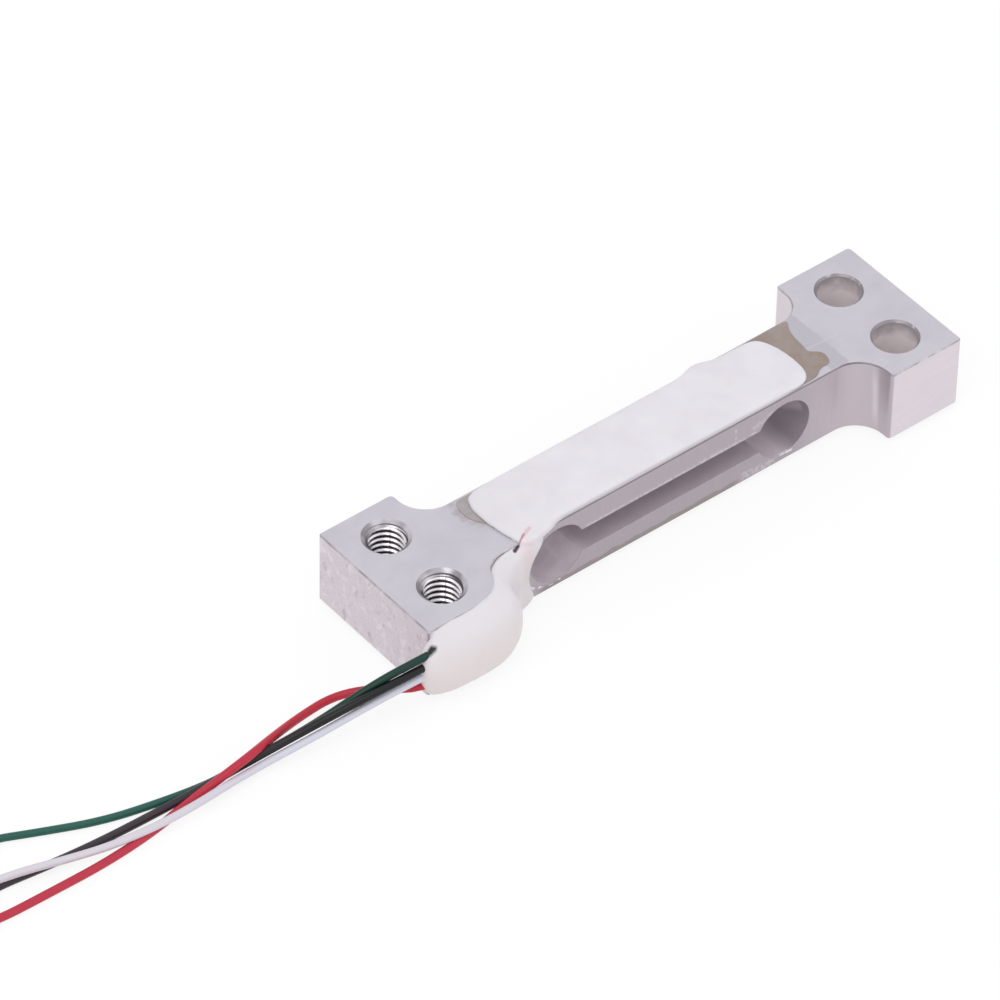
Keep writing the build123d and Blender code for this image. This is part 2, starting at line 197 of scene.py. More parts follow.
def ragged(value, amount, pattern):
    """A length made uneven by a pattern, up to that many millimetres."""
    return reckon("ADD", value, times(pattern, amount * MM))


def between(value, low, high):
    """A mask that is 0 where value is low and 1 where it is high."""
    node = add_node("MapRange", Value=value, From_Min=low, From_Max=high)
    node.clamp = True
    return node.outputs["Result"]


def past(value, low, high):
    """The same mask for a length, with low and high in millimetres."""
    return between(value, low * MM, high * MM)


def within(value, low, high, soft=0.05):
    """A mask for lengths from low to high in millimetres, which fades over twice soft."""
    return times(past(value, low - soft, low + soft), past(value, high + soft, high - soft))


def blend(mask, first, second):
    """The first colour where mask is 0 and the second where it is 1."""
    node = add_node("Mix", {"data_type": "RGBA"}, _0=mask)
    for socket, value in ((node.inputs[6], first), (node.inputs[7], second)):
        if isinstance(value, bpy.types.NodeSocket):
            tree.links.new(value, socket)
        else:
            socket.default_value = (*value, 1)
    return node.outputs[2]


def mottled(mask, first, second):
    """A blend of two tones, each given by its levels."""
    return blend(mask, tone(*first), tone(*second))


def painted(colour, *layers):
    """A colour with tones over it. A layer is a mask, a tone's levels and, where it is thin, a strength."""
    for mask, levels, *strength in layers:
        colour = blend(times(mask, *strength), colour, tone(*levels))
    return colour


def link(output, shader, label):
    """Feed an output into one of the shader's inputs."""
    tree.links.new(output, shader.inputs[label])


def roughen(shader, height, depth):
    """Fine relief of that depth in millimetres, from a mask of heights."""
    bump = add_node("Bump", Height=height, Strength=1.0, Distance=depth * MM)
    link(bump.outputs[0], shader, "Normal")


def give(names, finish):
    """Put a finish on solids that keep their shape."""
    for name in names:
        frame["nodes"][name].data.materials.clear()
        frame["nodes"][name].data.materials.append(finish)


# %% [markdown]
# The aluminium has several finishes, and their textures come from how each face was made. The flat top
# and bottom keep the smooth skin of drawn bar with faint lines along it. The ends were sawn, which leaves
# specks. The neck and its round corners were milled upright, the window was milled and drilled from the
# side, and a patch beside the far block was rubbed dull for the adhesive. Each face's tone is also set to
# how bright it looks under the light, which is painted light and shade: the neck is darker than the top
# and the outer sides are lighter. Painted highlights and shade follow on the far round corner, in the
# window and the holes and along the edges. One material holds them all. Masks made from the place and
# the surface's direction choose between them.


# %% Aluminium: where each finish and each painted light and shade is
def from_hole(hole_x):
    """How far the place lies from the axis of the nearer of the two holes at that x."""
    x, y, _ = axes_of()
    spot = add_node("CombineXYZ", X=x, Y=reckon("ABSOLUTE", y)).outputs[0]
    return vector("DISTANCE", spot, Vector((hole_x, hole_ys[1], 0)) * MM, "Value")


def metal_places():
    """Masks for the beam's faces, by name, and the place."""
    x, y, z = axes_of()
    normal = add_node("SeparateXYZ", Vector=add_node("TexCoord").outputs["Normal"])
    facing_x, facing_y, facing_z = (reckon("ABSOLUTE", out) for out in normal.outputs)
    side = reckon("ABSOLUTE", y)
    # The painted highlight line and painted shade on the far bend lean out as they rise
    leaning = reckon("ADD", side, times(0.045, z))
    from_thread, from_plain = (from_hole(hole_x) for hole_x in hole_xs)
    upright = between(facing_z, 0.3, 0.1)
    slanted = times(between(facing_z, 0.2, 0.35), between(facing_z, 0.95, 0.9))
    far_bend = times(upright, past(x, 36.5, 36.6))
    masks = {
        "flat": between(facing_z, 0.9, 0.95),
        "edge": slanted,
        "sawn": times(between(facing_x, 0.8, 0.95), past(off(x, middle_x), 23.2, 23.4)),
        "outer_side": times(between(facing_y, 0.8, 0.95), past(side, 5.7, 5.9)),
        "window": times(past(side, 2.995, 2.97), within(x, 7.5, 32.5), within(z, 0.55, 5.45)),
        "slot": within(x, 12.4, 27.6, 0.5),
        "far_bore": past(x, 27, 29),
        "lower_web_shade": times(upright, past(z, 2.2, 1.9), within(x, 8.0, 31.0, 1.0)),
        "rubbed": times(past(x, 34.2, 34.4), past(ragged(x, 0.5, grain(0.8)), 36.15, 36.0)),
        "far_neck_light": times(upright, past(x, 31, 35)),
        "bend_painted_light": times(upright, past(x, 35.1, 35.8)),
        "bend_highlight_line": times(far_bend, within(leaning, 4.5, 4.83, 0.13), within(z, 1.2, 5.2, 0.9)),
        "bend_shade": times(far_bend, within(leaning, 4.96, 7.0, 0.07), within(side, 4.5, 5.97, 0.03)),
        "bend_back_painted_light": times(upright, past(y, 3.02, 3.1)),
        "plain_wall": times(past(from_plain, 1.68, 1.62), upright),
        "plain_rim_shade_and_glints": times(past(from_plain, 1.78, 1.76), slanted),
        "wall_top_shadow": past(ragged(z, 1.4, grain(0.9)), 5.2, 6.4),
        "thread_wall": times(past(from_thread, 1.6, 1.52), upright),
        "near_mouth": past(off(z, middle_z), 2.42, 2.5),
        "mouth": times(past(from_thread, 1.8, 1.76), between(facing_z, 0.9, 0.8)),
        "front": past(y, -2.9, -2.95),
    }
    return masks, (x, y, z)


# %% Aluminium: hand marks and painted glints on it
def smear(ends, width, patchy, from_above=False):
    """A mask for a broken streak between two places, in millimetres, at any height if seen from above."""
    start, end = (Vector(place) * MM for place in ends)
    where = place_of()
    if from_above:
        start.z = end.z = 0
        where = vector("MULTIPLY", where, (1, 1, 0))
    along = (end - start).normalized()
    away = vector("SUBTRACT", where, start)
    run = vector("DOT_PRODUCT", away, along, "Value")
    run = reckon("MINIMUM", reckon("MAXIMUM", run, 0.0), (end - start).length)
    foot = add_node("VectorMath", {"operation": "SCALE"}, _0=along, Scale=run).outputs[0]
    gap = vector("DISTANCE", away, foot, "Value")
    return times(past(gap, width, 0.4 * width), patchy)


# Pale and dark marks: scratches, smudges and chips, with painted glints along the bores' lower rims and
# painted light inside the near bore.
marks_and_glints = [
    (((7.75, -3.0, 1.1), (8.05, -3.0, 0.85)), 0.13, (236, 232, 234)),
    (((8.45, -3.0, 0.72), (8.75, -3.0, 0.62)), 0.12, (236, 232, 234)),
    (((9.35, -3.0, 0.45), (9.6, -3.0, 0.4)), 0.11, (228, 223, 226)),
    (((10.1, -3.0, 0.45), (10.3, -3.0, 0.45)), 0.1, (228, 223, 226)),
    (((28.6, -3.0, 1.15), (29.3, -3.0, 0.95)), 0.2, (214, 208, 212)),
    (((29.6, -3.0, 0.75), (30.8, -3.0, 0.56)), 0.2, (240, 238, 240)),
    (((26.6, -3.0, 0.6), (29.0, -3.0, 0.4)), 0.45, (198, 190, 195)),
    (((25.65, -3.0, 5.4), (25.72, -3.0, 4.3)), 0.12, (204, 197, 202)),
    (((27.3, -3.0, 4.6), (28.9, -3.0, 5.1)), 0.3, (196, 189, 194)),
    (((11.23, -0.3, 0.98), (11.19, -1.5, 0.97)), 0.22, (214, 205, 211)),
    (((9.56, -2.28, 0.69), (9.97, -2.54, 0.65)), 0.22, (210, 201, 207)),
    (((22.5, -3.0, 4.25), (25.0, -3.0, 4.15)), 0.2, (194, 187, 192)),
    (((12.6, -3.0, 4.1), (27.4, -3.0, 4.1)), 0.2, (202, 195, 200)),
    (((-3.5, -5.6, 0.9), (-3.5, -4.9, 0.7)), 0.07, (228, 221, 227)),
    (((-3.5, -5.2, 1.5), (-3.5, -4.7, 1.25)), 0.06, (228, 221, 227)),
    (((-3.5, -4.6, 0.6), (-3.5, -3.9, 0.55)), 0.06, (190, 181, 189)),
]
adhesive_stains = [
    ((5.5, 2.8, 6.0), (5.2, 1.9, 6.0)),
    ((5.2, 1.9, 6.0), (5.25, 1.0, 6.0)),
    ((5.25, 1.0, 6.0), (5.75, 0.1, 6.0)),
]


# %% Aluminium: the countersunk mouths
def mouth_shade():
    """The turned cone at a tapped hole's mouth throws light back unevenly."""
    uneven = between(grain(1.5, detail=1), 0.42, 0.6)
    return mottled(uneven, (150, 145, 151), (202, 198, 205))


# %% Aluminium: colours
def aluminium_finish():
    material, shader = start_material("machined_aluminium", tone(200, 196, 205), 0.42, metallic=0.75)
    masks, (x, _, z) = metal_places()
    specks = grain(0.16, detail=6)
    coarse = grain(0.8, detail=4)
    tool_marks = grain(0.5, (0.25, 0.25, 9), 4)

    # The neck's milled faces: tool marks, in a tone darker than the top's, which is painted shade.
    milled_and_shaded = mottled(tool_marks, (174, 164, 172), (186, 176, 184))
    # Painted light: the neck is lighter towards the far block.
    milled_and_shaded = blend(masks["far_neck_light"], milled_and_shaded, mottled(tool_marks, (192, 181, 189), (202, 191, 199)))
    # Painted shade: the web below the slot is darker.
    milled_and_shaded = blend(masks["lower_web_shade"], milled_and_shaded, mottled(tool_marks, (169, 159, 167), (182, 172, 180)))
    # The far round corner: a painted highlight, a painted highlight line and painted shade, and painted
    # light on its back.
    milled_and_shaded = painted(milled_and_shaded, (masks["bend_painted_light"], (197, 187, 194)),
                     (masks["bend_highlight_line"], (216, 207, 213)), (masks["bend_shade"], (189, 179, 187)),
                     (masks["bend_back_painted_light"], (224, 216, 221)))
    drawn = mottled(grain(0.4, (16, 1, 1)), (200, 197, 206), (206, 203, 211))
    scratch = smear(((34.25, -0.2, 6.0), (37.0, -0.38, 6.0)), 0.08, 0.4)
    drawn = painted(drawn, (between(grain(2.5), 0.4, 0.7), (197, 193, 203)),
                    (masks["rubbed"], (189, 186, 196)), (scratch, (212, 210, 217)))
    # Chamfers: a mottled darker tone, partly wear and partly painted shade. The neck's front top edge gets
    # painted shade.
    wear_and_shade = mottled(between(coarse, 0.35, 0.65), (160, 154, 160), (196, 191, 197))
    neck_edge_shade = times(masks["edge"], masks["front"], within(x, 9.0, 37.4, 0.3))
    saw_cut = mottled(between(specks, 0.38, 0.62), (208, 198, 206), (219, 210, 217))
    saw_cut = painted(saw_cut,
                      (between(grain(0.75, detail=4), 0.54, 0.68), (225, 217, 223)),
                      (between(grain(0.55, (1, 1, 1.6), 4), 0.42, 0.3), (194, 184, 192)))
    # Painted light: the blocks' outer sides are toned lighter.
    side = mottled(grain(0.7, (5, 1, 1), 4), (218, 209, 216), (228, 220, 226))
    # Inside the window: painted shade in the slot and the far bore, and painted light on the far bore's
    # floor and right wall.
    bore_lit_and_shaded = mottled(grain(0.9, (2, 1, 1), 4), (189, 177, 186), (217, 208, 215))
    bore_lit_and_shaded = blend(masks["slot"], bore_lit_and_shaded, mottled(coarse, (170, 158, 167), (190, 180, 188)))
    bore_floor_light = times(past(z, 2.0, 1.3), past(x, 21, 27), past(x, 31.3, 30.0))
    shine = smear(((32.2, -0.2, 2.3), (32.35, -1.8, 3.1)), 0.6, 0.8)
    bore_lit_and_shaded = painted(bore_lit_and_shaded, (masks["far_bore"], (154, 144, 152)), (bore_floor_light, (212, 202, 208)),
                   (shine, (196, 186, 193)))
    # Plain holes: a painted shadow under the rim, and painted shade with painted glints on the rim.
    plain = painted(mottled(coarse, (240, 231, 233), (248, 241, 242)),
                    (masks["wall_top_shadow"], (168, 160, 165)))
    plain_rim_shade_and_glints = mottled(between(coarse, 0.58, 0.7), (148, 142, 148), (200, 196, 202))
    # Tapped walls: painted shade between the thread's ridges, lighter near the mouths.
    tapped = mottled(masks["near_mouth"], (70, 66, 70), (140, 134, 140))

    colour = blend(masks["flat"], milled_and_shaded, drawn)
    colour = blend(masks["edge"], colour, wear_and_shade)
    colour = painted(colour, (neck_edge_shade, (130, 122, 128)))
    for place, finish in (("sawn", saw_cut), ("outer_side", side), ("window", bore_lit_and_shaded),
                          ("plain_wall", plain), ("plain_rim_shade_and_glints", plain_rim_shade_and_glints), ("thread_wall", tapped),
                          ("mouth", mouth_shade())):
        colour = blend(masks[place], colour, finish)

    residue = times(masks["front"], within(x, 8.6, 26.0, 0.4), past(ragged(z, 0.5, coarse), 0.86, 0.74))
    colour = painted(colour, (residue, (146, 137, 133), 0.75))
    stain = times(between(grain(0.5), 0.35, 0.6), 0.7)
    for ends in adhesive_stains:
        colour = painted(colour, (smear(ends, 0.5, stain), (176, 169, 172)))
    # The marks and painted glints, broken up by a pattern.
    patchy = between(grain(0.22), 0.38, 0.56)
    for ends, width, levels in marks_and_glints:
        colour = painted(colour, (smear(ends, width, patchy), levels))
    link(colour, shader, "Base Color")

    inside = reckon("ADD", masks["window"], masks["plain_wall"])
    link(reckon("SUBTRACT", 0.75, times(inside, 0.7)), shader, "Metallic")
    link(reckon("ADD", 0.36, times(specks, 0.16)), shader, "Roughness")
    relief = reckon("ADD", times(masks["sawn"], specks), times(0.15, grain(0.12, detail=2)))
    roughen(shader, relief, 0.02)
    return material


aluminium = aluminium_finish()
give(["beam"], aluminium)
print("finished the beam with", aluminium.name)

# %% [markdown]
# Silicone, adhesive and insulation are all soft and smooth, and differ in how much light goes into them.
# The silicone lets a little in, so a pinkish wire just below its skin tints it. Marks where the jumpers
# go under the strip stand for that, and the darkest is also the painted shadow in the crease there.
# Painted shade darkens the lump and the strip's front edge, and a painted shadow fills the gap above the
# green lead's exit.


# %% Silicone
def silicone_finish():
    material, shader = start_material("white_silicone", tone(228, 225, 231), 0.42)
    shader.inputs["Subsurface Weight"].default_value = 0.25
    shader.inputs["Subsurface Radius"].default_value = (1.0, 0.7, 0.6)
    shader.inputs["Subsurface Scale"].default_value = 0.6 * MM
    x, y, z = axes_of()
    cloudy = mottled(between(grain(2.6, detail=2), 0.35, 0.65), (231, 228, 235), (226, 222, 229))
    # Painted shade: the lump is a little darker than the strip, and warmer towards its foot.
    on_block = past(x, 9.0, 6.0)
    lower_lump_shade = times(on_block, past(z, 6.2, 2.5))
    # Painted shade along the strip's front edge.
    strip_edge_shade = times(past(y, -2.8, -3.05), past(x, 9.3, 10.5))
    blush = smear(((6.8, -3.6, 6.0), (7.0, -3.6, 4.2)), 0.9, 0.4)
    upper = past(z, 5.6, 5.8)
    under_skin = smear(((7.0, -2.9, 0), (7.8, -2.6, 0)), 0.2, upper, from_above=True)
    shallow = smear(((6.45, -3.09, 0), (7.15, -2.82, 0)), 0.1, upper, from_above=True)
    # The darkest mark, where the jumper goes under the strip, is also the painted shadow in the crease.
    dive_and_crease_shadow = smear(((6.0, -3.29, 0), (6.4, -3.11, 0)), 0.19, upper, from_above=True)
    # A painted shadow stands for the gap above the green lead where it leaves the lump.
    hole = smear(((-3.5, -6.52, 0), (-3.75, -6.48, 0)), 0.31, within(z, 4.35, 5.15, 0.1), from_above=True)
    colour = painted(cloudy, (on_block, (224, 220, 225), 0.6), (lower_lump_shade, (229, 219, 219), 0.9),
                     (strip_edge_shade, (168, 161, 168), 0.8), (blush, (228, 205, 210)),
                     (under_skin, (214, 150, 164), 0.45), (shallow, (156, 92, 102), 0.65),
                     (dive_and_crease_shadow, (44, 20, 30), 0.95), (hole, (14, 13, 18)))
    link(colour, shader, "Base Color")
    roughen(shader, grain(1.1, detail=2), 0.05)
    return material


silicone = silicone_finish()


# %% Adhesive
def adhesive_finish():
    """Thin and greyish under the strip's near end, browner where more of it was squeezed out."""
    material, shader = start_material("brown_adhesive", tone(160, 149, 146), 0.3)
    thick = grain(1.1)
    patches = between(thick, 0.35, 0.65)
    near_film = mottled(patches, (170, 163, 165), (160, 151, 149))
    far_film = mottled(patches, (157, 144, 140), (147, 131, 120))
    near = past(axes_of()[0], 20, 10)
    link(blend(near, far_film, near_film), shader, "Base Color")
    shader.inputs["Metallic"].default_value = 0.35
    shader.inputs["Coat Weight"].default_value = 0.4
    roughen(shader, thick, 0.02)
    return material


adhesive = adhesive_finish()


# %% Insulation and tinned wire
def insulation_finish(name, levels, shade, shaded_close_in):
    """Smooth insulation, with painted shade close to the lump, where the wires shade each other."""
    material, shader = start_material(name + "_insulation", tone(*levels), 0.4)
    colour = painted(mottled(grain(0.9), levels, shade), (past(axes_of()[0], -25, -13), shaded_close_in))
    link(colour, shader, "Base Color")
    shader.inputs["Specular IOR Level"].default_value = 0.3
    shader.inputs["Coat Weight"].default_value = 0.1
    shader.inputs["Coat Roughness"].default_value = 0.2
    roughen(shader, grain(0.25, detail=2), 0.01)
    return material


insulation_tones = {
    "red": ((195, 52, 76), (180, 42, 62), (188, 40, 60)),
    "black": ((52, 44, 52), (60, 50, 58), (18, 16, 20)),
    "white": ((219, 213, 222), (210, 205, 216), (211, 211, 224)),
    "green": ((41, 97, 85), (30, 84, 72), (4, 52, 42)),
}
insulation = {name: insulation_finish(name, *tones) for name, tones in insulation_tones.items()}


def bright_finish(name, colour, roughness):
    material, shader = start_material(name, colour, roughness, metallic=1.0)
    wear_and_shade = blend(grain(0.3), colour, tuple(0.8 * c for c in colour))
    link(wear_and_shade, shader, "Base Color")
    roughen(shader, grain(0.1, detail=2), 0.01)
    return material


tin = bright_finish("tinned_copper", (0.8, 0.79, 0.77), 0.28)


def thread_finish():
    """Bright on the ridges' crests and dark in the grooves, where light hardly gets."""
    material, shader = start_material("cut_thread", tone(230, 228, 232), 0.25, metallic=0.9)
    x, y, z = axes_of()
    groove = past(from_hole(hole_xs[0]), 1.33, 1.375)
    # A painted reflection: a dark streak down each tapped hole's thread.
    slant = reckon("SUBTRACT", x, off(reckon("ABSOLUTE", y), hole_ys[1]))
    dark_reflection_streak = times(within(slant, 0.06, 0.24), past(x, 0.0, 0.1))
    colour = painted(mottled(grain(0.3), (238, 236, 240), (218, 215, 220)),
                     (groove, (84, 76, 80)), (dark_reflection_streak, (92, 84, 84), 0.6))
    cone = past(off(z, middle_z), 2.5, 2.54)
    link(blend(cone, colour, mouth_shade()), shader, "Base Color")
    roughen(shader, grain(0.1, detail=2), 0.01)
    return material


thread_metal = thread_finish()
print("soft finishes and metals are ready")

# %% [markdown]
# Next come the leads, four wires as thin as half a millimetre. A wire like that is flexible but springy,
# so it leaves the lump straight, sinks to the table in a long curve and wanders. Each is one smooth
# NURBS curve through listed control points, and Blender's bevel gives it thickness. What the
# picture doesn't show is wound into a tied coil just outside the view. The coil's turns are worked out
# by a loop: each lead keeps its own lane, and all rise to the next layer at the same place.

# %% Sizes and routes of the leads
lead_dia = 0.55
conductor_dia = 0.3
bare_length = 3.0
strands = 7
joint_x = -0.5
lead_y = -6.6
coil_centre = (-47.5, 4.6)
coil_entry = -100.0
first_lane = 5.5
lane_pitch = 0.6
turn_pitch = 0.57
rise_start = 190.0
rise_end = 240.0
points_per_turn = 24
coil_floor = coil_low.z + lead_dia / 2

leads = {
    "green": {
        "joint_z": 4.8, "lane": 0, "turns": 4.34, "stand_out": 0.8, "dia": 0.55,
        "leaves": (-3.5, -6.47, 4.57),
        "route": [
            (-4.26, -6.26, 4.33), (-7.67, -5.57, 3.55), (-11.61, -4.39, 1.35), (-15.43, -3.49, 0.1),
            (-19.54, -3.43, -0.075), (-23.4, -2.76, -0.075), (-27.4, -1.8, -0.075), (-31.25, -0.08, -0.075),
            (-34.91, 1.7, -0.075), (-38.4, 1.2, -0.075), (-41.0, -0.1, 0.0),
        ],
    },
    "white": {
        "joint_z": 2.8, "lane": 1, "turns": 3.91, "stand_out": 0.8, "dia": 0.55,
        "leaves": (-4.14, -6.6, 2.95),
        "route": [
            (-8.16, -5.98, 2.3), (-12.25, -5.35, 1.4), (-16.22, -4.47, 0.36), (-19.23, -4.72, 0.6),
            (-22.01, -5.09, 0.85), (-24.81, -4.79, 0.48), (-28.41, -4.35, 0.4), (-31.66, -3.72, 0.65),
            (-35.26, -2.63, 0.7), (-38.8, -1.5, 0.0), (-42.5, -1.8, 0.1),
        ],
    },
    "black": {
        "joint_z": 3.8, "lane": 2, "turns": 3.68, "stand_out": 0.8, "dia": 0.6,
        "leaves": (-4.15, -6.55, 3.7),
        "route": [
            (-8.19, -6.01, 3.2), (-12.22, -4.97, 2.0), (-16.03, -4.02, 0.8), (-20.26, -3.65, 0.25),
            (-24.43, -3.38, -0.05), (-28.78, -3.22, -0.05), (-32.86, -2.82, -0.05), (-36.9, -2.25, -0.05),
            (-40.8, -2.6, 0.05), (-44.1, -2.55, 0.1),
        ],
    },
    "red": {
        "joint_z": 1.8, "lane": 3, "turns": 3.27, "stand_out": 2.9, "dia": 0.6,
        "leaves": (-4.3, -6.85, 1.9),
        "route": [
            (-6.3, -4.16, 1.15), (-8.65, -2.41, 0.5), (-11.66, -2.41, 0.25), (-14.75, -3.44, 1.05),
            (-17.32, -4.31, 1.6), (-19.77, -4.15, 0.78), (-22.38, -3.97, -0.05), (-25.32, -4.62, -0.05),
            (-29.59, -4.97, -0.05), (-34.01, -4.88, -0.05), (-38.47, -4.75, -0.05), (-42.1, -3.85, 0.05),
            (-45.2, -3.25, 0.1),
        ],
    },
}
# The leads of the inner lanes pass a point this far before the coil, which leads them in
approach = 2.9
inner_lanes = 2


# %% Points of one lead, from its joint to its bare end
def on_coil(radius, turned):
    """The place on a lane after so many degrees of winding, clockwise as seen from above."""
    turn, part = divmod(turned, 360)
    rise = min(max((part - rise_start) / (rise_end - rise_start), 0), 1)
    angle = math.radians(coil_entry - turned)
    return Vector((coil_centre[0] + radius * math.cos(angle), coil_centre[1] + radius * math.sin(angle),
                   coil_floor + (turn + rise) * turn_pitch))


def along_coil(turned):
    """The direction of winding after so many degrees."""
    angle = math.radians(coil_entry - turned)
    return Vector((math.sin(angle), -math.cos(angle), 0))


def lead_points(lead):
    radius = first_lane + lead["lane"] * lane_pitch
    wound = 360 * lead["turns"]
    points = [Vector((joint_x, lead_y, lead["joint_z"])), Vector(lead["leaves"])]
    points += [Vector(point) for point in lead["route"]]
    if lead["lane"] < inner_lanes:
        points.append(on_coil(radius, 0) - along_coil(0) * approach)
    points += [on_coil(radius, step * 360 / points_per_turn)
               for step in range(int(wound * points_per_turn / 360) + 1)]
    points.append(on_coil(radius, wound))
    points.append(points[-1] + along_coil(wound) * lead["stand_out"])
    return points, along_coil(wound)


# %% Pieces and bare ends
def make_piece(name, shape, finish, stands_for=(), sharp=35.0):
    """Make a shape drawn in millimetres into a piece of the cell that rides on its body."""
    bmesh.ops.scale(shape, vec=(MM, MM, MM), verts=shape.verts)
    mesh = bpy.data.meshes.new(name)
    shape.to_mesh(mesh)
    shape.free()
    mesh.shade_smooth()
    mesh.set_sharp_from_angle(angle=math.radians(sharp))
    mesh.materials.append(finish)
    piece = bpy.data.objects.new(name, mesh)
    bpy.context.collection.objects.link(piece)
    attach(piece, "root")
    if stands_for:
        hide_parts(*stands_for)
    return piece


def verts_in(geometry):
    """The vertices among what a bmesh operator gives back."""
    return [item for item in geometry if isinstance(item, bmesh.types.BMVert)]


def bare_end(colour, start, direction):
    """Seven tinned strands twisted together, with a narrowed tip, made by drawing out one section."""
    steps = 24
    twist = Matrix.Rotation(math.radians(14), 3, "Z")
    shape = bmesh.new()
    ring = bmesh.ops.create_circle(shape, segments=4 * strands, radius=conductor_dia / 2)["verts"]
    for vert in ring:
        angle = math.atan2(vert.co.y, vert.co.x)
        vert.co *= 0.93 + 0.07 * math.cos(strands * angle)
    edges = shape.edges[:]
    for step in range(steps):
        geometry = bmesh.ops.extrude_edge_only(shape, edges=edges)["geom"]
        verts = verts_in(geometry)
        edges = [item for item in geometry if isinstance(item, bmesh.types.BMEdge)
                 and all(vert in verts for vert in item.verts)]
        bmesh.ops.translate(shape, verts=verts, vec=(0, 0, bare_length / steps))
        bmesh.ops.rotate(shape, verts=verts, cent=(0, 0, 0), matrix=twist)
    bmesh.ops.scale(shape, verts=verts, vec=(0.55, 0.55, 1))
    bmesh.ops.holes_fill(shape, edges=shape.edges, sides=0)
    bmesh.ops.recalc_face_normals(shape, faces=shape.faces)
    turn = direction.to_track_quat("Z", "Y").to_matrix()
    bmesh.ops.rotate(shape, verts=shape.verts, cent=(0, 0, 0), matrix=turn)
    bmesh.ops.translate(shape, verts=shape.verts, vec=start)
    piece = make_piece(f"tinned_end_{colour}", shape, tin, [f"bare_end_{colour}"])
    return piece


# %% Lay the leads
def wire_along(name, points, dia, finish, steps, roundness):
    """A round wire on a smooth curve through points in millimetres, and the curve's spline."""
    curve = bpy.data.curves.new(name, "CURVE")
    curve.dimensions = "3D"
    curve.resolution_u = steps
    curve.bevel_depth = dia / 2 * MM
    curve.bevel_resolution = roundness
    curve.use_fill_caps = True
    curve.materials.append(finish)
    spline = curve.splines.new("NURBS")
    spline.points.add(len(points) - 1)
    for target, point in zip(spline.points, points):
        target.co = (*(Vector(point) * MM), 1)
    spline.order_u = 3
    spline.use_endpoint_u = True
    wire = bpy.data.objects.new(name, curve)
    bpy.context.collection.objects.link(wire)
    return wire, spline


def lay_lead(colour, lead):
    points, direction = lead_points(lead)
    wire, spline = wire_along(f"wire_{colour}", points, lead["dia"], insulation[colour], 6, 4)
    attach(wire, "root")
    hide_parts(f"lead_{colour}", "lead_coil")
    tip = bare_end(colour, points[-1], direction)


for colour, lead in leads.items():
    lay_lead(colour, lead)

# %% [markdown]
# The coil is held by a narrow paper band. A closed strip of faces bent round the coil's section would
# do, but a real band overlaps itself, so the section is an open line that runs round once and a bit
# more, is given its thickness, and is swept a short way along the coil with a spin.


# %% Coil tie
band_slack = 0.42
band_spread = math.radians(17)
paper_thickness = 0.06


def coil_band():
    band_low, band_high = (Vector(corner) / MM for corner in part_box("coil_tie"))
    middle = math.atan2((band_low.y + band_high.y) / 2 - coil_centre[1],
                        (band_low.x + band_high.x) / 2 - coil_centre[0])
    inner = first_lane - band_slack
    outer = first_lane + 3 * lane_pitch + band_slack
    low = band_low.z + 0.01
    high = band_high.z - 0.05
    section = [(outer + 0.06, low + 1.1), (outer + 0.06, low + 0.25), (outer - 0.2, low),
               (inner + 0.2, low), (inner, low + 0.25), (inner, high - 0.25), (inner + 0.2, high),
               (outer - 0.2, high), (outer, high - 0.25), (outer, low + 0.3)]
    shape = bmesh.new()
    verts = [shape.verts.new((x, 0, z)) for x, z in section]
    edges = [shape.edges.new(pair) for pair in zip(verts, verts[1:])]
    bmesh.ops.rotate(shape, verts=verts, cent=(0, 0, 0),
                     matrix=Matrix.Rotation(middle - band_spread / 2, 3, "Z"))
    bmesh.ops.spin(shape, geom=verts + edges, cent=(0, 0, 0), axis=(0, 0, 1), angle=band_spread, steps=6,
                   use_merge=False)
    bmesh.ops.recalc_face_normals(shape, faces=shape.faces)
    bmesh.ops.solidify(shape, geom=shape.faces[:], thickness=paper_thickness)
    bmesh.ops.translate(shape, verts=shape.verts, vec=(*coil_centre, 0))
    return shape


def paper_finish():
    material, shader = start_material("paper_band", (0.72, 0.7, 0.64), 0.8)
    fibres = blend(grain(0.2, (6, 1, 1), 3), (0.74, 0.72, 0.66), (0.64, 0.62, 0.56))
    link(fibres, shader, "Base Color")
    roughen(shader, grain(0.15, (4, 1, 1), 3), 0.02)
    return material


band = make_piece("coil_band", coil_band(), paper_finish(), ["coil_tie"])
print("tied the coil with", band.name)

# %% [markdown]
# The two holes of the fixing block are tapped, and their bright thread is the sharpest detail in the
# picture. A tap leaves a helical ridge, so one small blunt triangle is spun round the hole's axis and
# moved along it by one pitch each turn. Its outer side goes a little into the wall, where nobody sees it.
# Near the two mouths its crests are pushed out to the cone that a countersink left there. The tap
# starts somewhere else in each hole, so one helix lies a little lower.

# %% Threads
thread_pitch = 0.5
thread_crest = 1.24
thread_steps = 36
mouth_depth = 0.26
mouth_radius = 1.75
wall_overlap = 0.03


